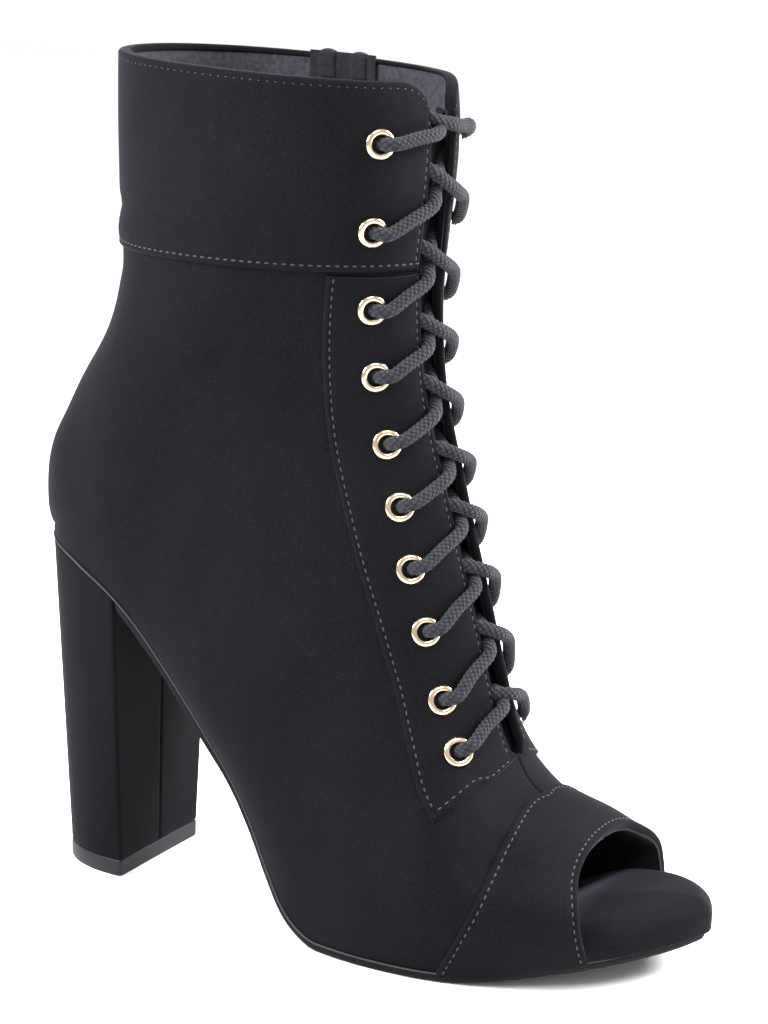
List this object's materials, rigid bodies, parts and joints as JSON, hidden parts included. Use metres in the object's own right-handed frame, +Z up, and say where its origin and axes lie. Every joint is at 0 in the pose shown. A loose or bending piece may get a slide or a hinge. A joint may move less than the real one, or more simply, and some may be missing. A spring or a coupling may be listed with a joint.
{
  "type": "lace-up ankle boot",
  "caption": "Right peep-toe ankle boot in black microsuede with laced front, metal eyelets, deep collar cuff, side zip and covered block heel.",
  "frame": {"origin": "on the underside of the heel's top piece, on the boot's centre line, at floor level", "axes": "+X towards the toe, +Y towards the medial side, +Z up"},
  "size_m": [0.2094, 0.0885, 0.2415],
  "materials": {
    "suede": "black microsuede with a soft nap",
    "textile": "dark grey lining cloth",
    "insole_cover": "black microsuede cover",
    "sole": "matt black sheet sole",
    "heel_tip": "hard smooth black tip",
    "eyelet_gold": "polished pale gold",
    "lace_braid": "round braid",
    "zip_tape": "woven tape with a coil chain",
    "zip_metal": "dark plated metal"
  },
  "bodies": {
    "boot": {"outsole": "sole", "insole": "insole_cover", "heel_block": "suede", "top_piece": "heel_tip", "upper": "suede", "toe_cap": "suede", "cuff_medial": "suede", "cuff_lateral": "suede", "eyestay_lateral": "suede", "eyestay_medial": "suede", "tongue": "textile", "zip_chain": "zip_tape", "zip_slider": "zip_metal", "eyelet_lateral_01": "eyelet_gold", "eyelet_medial_01": "eyelet_gold", "eyelet_lateral_02": "eyelet_gold", "eyelet_medial_02": "eyelet_gold", "eyelet_lateral_03": "eyelet_gold", "eyelet_medial_03": "eyelet_gold", "eyelet_lateral_04": "eyelet_gold", "eyelet_medial_04": "eyelet_gold", "eyelet_lateral_05": "eyelet_gold", "eyelet_medial_05": "eyelet_gold", "eyelet_lateral_06": "eyelet_gold", "eyelet_medial_06": "eyelet_gold", "eyelet_lateral_07": "eyelet_gold", "eyelet_medial_07": "eyelet_gold", "eyelet_lateral_08": "eyelet_gold", "eyelet_medial_08": "eyelet_gold", "eyelet_lateral_09": "eyelet_gold", "eyelet_medial_09": "eyelet_gold", "eyelet_lateral_10": "eyelet_gold", "eyelet_medial_10": "eyelet_gold", "lace_crossing_01": "lace_braid", "lace_crossing_02": "lace_braid", "lace_crossing_03": "lace_braid", "lace_crossing_04": "lace_braid", "lace_crossing_05": "lace_braid", "lace_crossing_06": "lace_braid", "lace_crossing_07": "lace_braid", "lace_crossing_08": "lace_braid", "lace_crossing_09": "lace_braid", "lace_crossing_10": "lace_braid"},
    "pull_tab": {"zip_pull": "zip_metal"}
  },
  "joints": [
    {"name": "pull_swing", "type": "hinge", "parent": "boot", "child": "pull_tab", "pos_m": [0.05053, 0.04136, 0.23043], "axis": [0.9989, -0.0002, 0.0469], "range_deg": [0, 165]}
  ]
}
